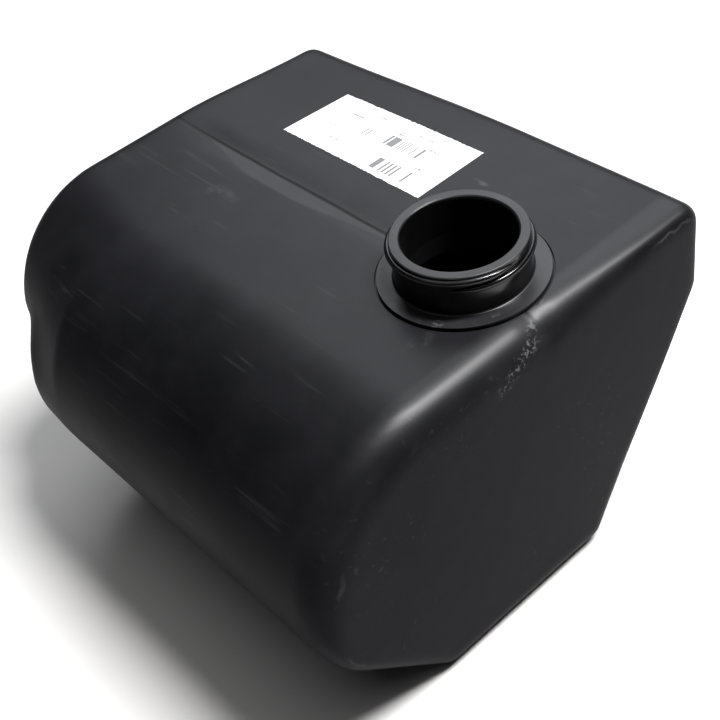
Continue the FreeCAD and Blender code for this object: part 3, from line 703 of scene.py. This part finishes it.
# %% [markdown]
# A grid leaves a faint step from cell to cell.  A few rounds of averaging remove it.
# Then the cavity, the neck hole and the seats of the inserts are carved out, so the
# shell is a real wall with real holes.

# %% Carving tools
def relax(piece, rounds):
    bm = bmesh.new()
    bm.from_mesh(piece.data)
    for _ in range(rounds):
        bmesh.ops.smooth_vert(bm, verts=bm.verts, factor=0.5,
                              use_axis_x=True, use_axis_y=True, use_axis_z=True)
    bm.to_mesh(piece.data)
    bm.free()


def drum(radius, length, start, axis, segments=96):
    """A plain closed cylinder, used only as a carving tool."""
    bm = bmesh.new()
    bmesh.ops.create_cone(bm, cap_ends=True, segments=segments,
                          radius1=radius, radius2=radius, depth=length)
    bm.transform(Matrix.Translation(start) @ axis_turn(axis) @ Matrix.Translation((0, 0, length / 2)))
    mesh = bpy.data.meshes.new("tool")
    bm.to_mesh(mesh)
    bm.free()
    tool = bpy.data.objects.new("tool", mesh)
    bpy.context.scene.collection.objects.link(tool)
    return tool


def carve(piece, tool, operation="DIFFERENCE"):
    modifier = piece.modifiers.new("carve", "BOOLEAN")
    modifier.operation = operation
    modifier.solver = "MANIFOLD"
    modifier.object = tool
    tool.data.materials.clear()
    tool.data.materials.append(piece.data.materials[0])
    bpy.context.view_layer.update()
    graph = bpy.context.evaluated_depsgraph_get()
    mesh = bpy.data.meshes.new_from_object(piece.evaluated_get(graph))
    piece.modifiers.remove(modifier)
    piece.data = mesh
    bpy.data.objects.remove(tool)


relax(skin, 3)
relax(cavity, 2)
BOSS_WALL = 6 * MM
DRAIN_POCKET_RADIUS = 21 * MM
SPIGOT_RADIUS = 38.5 * MM
FLANGE_RECESS = 1.6 * MM
INSERT_AXES = {
    "suction_port_insert": (1, 0, 0), "return_port_insert": (1, 0, 0), "case_drain_port_insert": (1, 0, 0),
    "drain_port_insert": (0, 0, 1), "level_sight_insert": (0, -1, 0),
}


def insert_seat(node, axis):
    """Start, length and radius of an insert, from its box."""
    low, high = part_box(node)
    size = high - low
    length = abs(size.dot(axis))
    across = [size[index] for index in range(3) if abs(axis[index]) < 0.5]
    return (low + high) / 2 - axis * length / 2, length, across[0] / 2


INSERT_AXES = {node: Vector(axis) for node, axis in INSERT_AXES.items()}
seats = {node: insert_seat(node, axis) for node, axis in INSERT_AXES.items()}
for node, (start, length, radius) in seats.items():
    axis = INSERT_AXES[node]
    carve(cavity, drum(radius + BOSS_WALL, length + 30 * MM, start - axis * 30 * MM, axis))
mount_low, mount_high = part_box("mounting_inserts")
MOUNT_RADIUS = 9 * MM
mount_places = [(x, y) for x in (mount_low.x + MOUNT_RADIUS, mount_high.x - MOUNT_RADIUS)
                for y in (mount_low.y + MOUNT_RADIUS, mount_high.y - MOUNT_RADIUS)]
for x, y in mount_places:
    carve(cavity, drum(MOUNT_RADIUS + BOSS_WALL, 57 * MM, (x, y, -30 * MM), (0, 0, 1)))
carve(skin, cavity)
drain_start, drain_length, drain_radius = seats["drain_port_insert"]
pocket_foot = (drain_start.x, drain_start.y, -10 * MM)
carve(skin, drum(DRAIN_POCKET_RADIUS, drain_start.z + 10 * MM, pocket_foot, (0, 0, 1)))
for node, (start, length, radius) in seats.items():
    axis = INSERT_AXES[node]
    carve(skin, drum(radius, length + 6 * MM, start - axis * 5 * MM, axis))
for x, y in mount_places:
    carve(skin, drum(MOUNT_RADIUS, mount_high.z + 5 * MM, (x, y, -5 * MM), (0, 0, 1)))
carve(skin, drum(SPIGOT_RADIUS, 30 * MM, (0, 0, top_z - 20 * MM), (0, 0, 1)))
carve(skin, drum(FLANGE_RADIUS + 1.3 * MM, 20 * MM, (0, 0, top_z - FLANGE_RECESS), (0, 0, 1), 160))
soften(skin, 32)
skin.name = "moulded_tank"
print("tank triangles", sum(len(face.vertices) - 2 for face in skin.data.polygons))
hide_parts(*TANK_WALLS)
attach(skin, "tank")

# %% [markdown]
# ## The filler neck
# The neck is turned from one profile, and the cap thread is a ridge that winds round it.
# A spiral curve carries the ridge, so its taper at both ends is one curve radius that
# fades in and out, which is how a mould maker ends a thread.

# %% Neck and thread
NECK_RADIUS = 41.6 * MM
neck_top = neck_high.z - top_z
spigot_end = neck_low.z - top_z
neck_profile = [
    (BORE_RADIUS, spigot_end, 0.5 * MM), (SPIGOT_RADIUS - 0.1 * MM, spigot_end, 0.5 * MM),
    (SPIGOT_RADIUS - 0.1 * MM, -FLANGE_RECESS, 0.0), (FLANGE_RADIUS - 1.6 * MM, -FLANGE_RECESS, 0.0),
    (FLANGE_RADIUS - 1.2 * MM, -0.6 * MM, 0.1 * MM), (FLANGE_RADIUS, -0.4 * MM, 0.1 * MM),
    (FLANGE_RADIUS, 1.5 * MM, 0.12 * MM), (NECK_RADIUS + 0.3 * MM, 1.6 * MM, 1.4 * MM),
    (NECK_RADIUS, 6 * MM, 1.0 * MM), (NECK_RADIUS, neck_top, 0.9 * MM),
    (BORE_RADIUS + 1.5 * MM, neck_top, 0.4 * MM), (BORE_RADIUS + 0.6 * MM, neck_top - 0.8 * MM, 0.3 * MM),
    (BORE_RADIUS, neck_top - 1.8 * MM, 0.6 * MM),
]
neck = turned("neck_with_thread", neck_profile, (0, 0, top_z), (0, 0, 1), finishes["neck_plastic"], 160)


def thread_ridge(board, inputs):
    spiral = board.add("GeometryNodeCurveSpiral", None, {
        "Resolution": 96, "Rotations": inputs["Turns"], "Start Radius": inputs["Radius"],
        "End Radius": inputs["Radius"], "Height": inputs["Rise"], "Reverse": True})
    along = board.add("GeometryNodeSplineParameter")
    fade = along.ramp(0.0, 0.05, 0.25, 1.0) * along.ramp(1.0, 0.93, 0.1, 1.0)
    outline = board.add("GeometryNodeCurvePrimitiveCircle", None,
                        {"Resolution": 20, "Radius": inputs["Ridge"]})
    ridge = board.add("GeometryNodeCurveToMesh", None, {
        "Curve": spiral, "Profile Curve": outline, "Scale": fade, "Fill Caps": True})
    return board.add("GeometryNodeSetShadeSmooth", None, {0: ridge})


RIDGE_RISE = 6.4 * MM
RIDGE_TOP_BELOW_RIM = 2.7 * MM
THREAD_START_DEG = -52
ridge_tree = shape_tree("thread_ridge", {"Turns": 1.16, "Radius": 42.3 * MM, "Rise": RIDGE_RISE,
                                         "Ridge": 2.1 * MM}, thread_ridge)
ridge = grow("thread_ridge", ridge_tree, finishes["neck_plastic"])
lift = Matrix.Translation((0, 0, neck_high.z - RIDGE_TOP_BELOW_RIM - RIDGE_RISE))
ridge.data.transform(lift @ Matrix.Rotation(math.radians(THREAD_START_DEG), 4, "Z"))
carve(neck, ridge, "UNION")
soften(neck, 40)
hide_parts("filler_neck")
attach(neck, "tank")

# %% [markdown]
# ## The label
# A label follows the skin that it is stuck to.  Its grid is dropped onto the tank, and
# its long edges are a little ragged, as a torn-off label's are.

# %% Label sheet
def label_sheet():
    bm = bmesh.new()
    columns, rows = 110, 50
    rng = np.random.default_rng(4)
    ragged = rng.normal(0, 0.22 * MM, (2, columns + 1))
    hit = skin.ray_cast
    grid = []
    for column in range(columns + 1):
        line = []
        for row in range(rows + 1):
            u, v = column / columns - 0.5, row / rows - 0.5
            y = label_centre.y + v * (label_width - 1 * MM)
            if row in (0, rows):
                y += ragged[0 if row == 0 else 1][column]
            x = label_centre.x + u * (label_length - 0.6 * MM)
            found, point, _, _ = hit(Vector((x, y, top_z + 20 * MM)), Vector((0, 0, -1)))
            line.append(bm.verts.new((x, y, point.z + 0.05 * MM)))
        grid.append(line)
    for column in range(columns):
        for row in range(rows):
            here, beside = grid[column], grid[column + 1]
            bm.faces.new((here[row], beside[row], beside[row + 1], here[row + 1]))
    made = bmesh.ops.extrude_face_region(bm, geom=list(bm.faces))
    lifted = [item for item in made["geom"] if isinstance(item, bmesh.types.BMVert)]
    bmesh.ops.translate(bm, verts=lifted, vec=(0, 0, 0.2 * MM))
    return finish_mesh("stuck_label", bm, finishes["label_paper"])


label = label_sheet()
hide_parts("parts_label")
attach(label, "tank")

# %% [markdown]
# ## Stage, light and camera
# The floor is plain and pale.  Black plastic shows its form only by what it reflects, so
# the lights are large soft panels.


# %% Stage and lights
def floor_sheet():
    bpy.ops.mesh.primitive_plane_add(size=12, location=(0, 0, -0.5 * MM))
    floor = bpy.context.object
    floor.name = "floor"
    material, board, shader = new_finish("floor_paper", Roughness=0.9)
    shader.inputs["Base Color"].default_value = (0.93, 0.92, 0.91, 1)
    floor.data.materials.append(material)


def soft_panel(name, place, size, power, colour=(1, 1, 1)):
    lamp = bpy.data.lights.new(name, "AREA")
    lamp.shape = "RECTANGLE"
    lamp.size, lamp.size_y = size
    lamp.energy = power
    lamp.color = colour
    lamp_object = bpy.data.objects.new(name, lamp)
    lamp_object.location = place
    lamp_object.rotation_euler = (middle - Vector(place)).to_track_quat("-Z", "Y").to_euler()
    bpy.context.scene.collection.objects.link(lamp_object)


floor_sheet()
middle = (tank_low + tank_high) / 2
soft_panel("sky_panel", (-1.25, 1.35, 1.75), (1.9, 1.5), 24, (0.95, 0.97, 1.0))
soft_panel("window_strip", (0.44, 0.52, 1.82), (0.24, 0.9), 55)
overhead = bpy.data.lights.new("overhead", "SUN")
overhead.energy = 0.5
overhead.angle = math.radians(60)
overhead_object = bpy.data.objects.new("overhead", overhead)
bpy.context.scene.collection.objects.link(overhead_object)

world = bpy.data.worlds.new("soft_room")
bpy.context.scene.world = world
world.use_nodes = True
room = Board(world.node_tree)
backdrop = next(node for node in world.node_tree.nodes if node.type == "BACKGROUND")
look_x, look_y, look_z = room.split(room.add("ShaderNodeTexCoord"))
towards_back = look_y * 0.7 - look_x * 0.3 + look_z * 0.6
strength = towards_back.ramp(0.2, 0.95, 0.34, 1.2)
room.tree.links.new(strength.socket, backdrop.inputs["Strength"])
bpy.context.scene.view_settings.view_transform = "Standard"
bpy.context.scene.view_settings.gamma = 0.9

# %% Camera
CAMERA_PLACE = Vector((0.4460, -0.3853, 0.7099))
CAMERA_AIM = Vector((-0.0763, -0.0332, 0.1300))
CAMERA_ROLL_DEG = -11.86
camera_data = bpy.data.cameras.new("camera")
camera_data.lens = 64.07
camera_data.sensor_width = 36
camera_data.shift_x = -0.0022
camera_data.shift_y = 0.0021
camera_data.clip_start = 0.01
camera = bpy.data.objects.new("camera", camera_data)
aim_turn = (CAMERA_AIM - CAMERA_PLACE).to_track_quat("-Z", "Y").to_matrix().to_4x4()
camera_roll = Matrix.Rotation(math.radians(CAMERA_ROLL_DEG), 4, "Z")
camera.matrix_world = Matrix.Translation(CAMERA_PLACE) @ aim_turn @ camera_roll
bpy.context.scene.collection.objects.link(camera)
bpy.context.scene.camera = camera
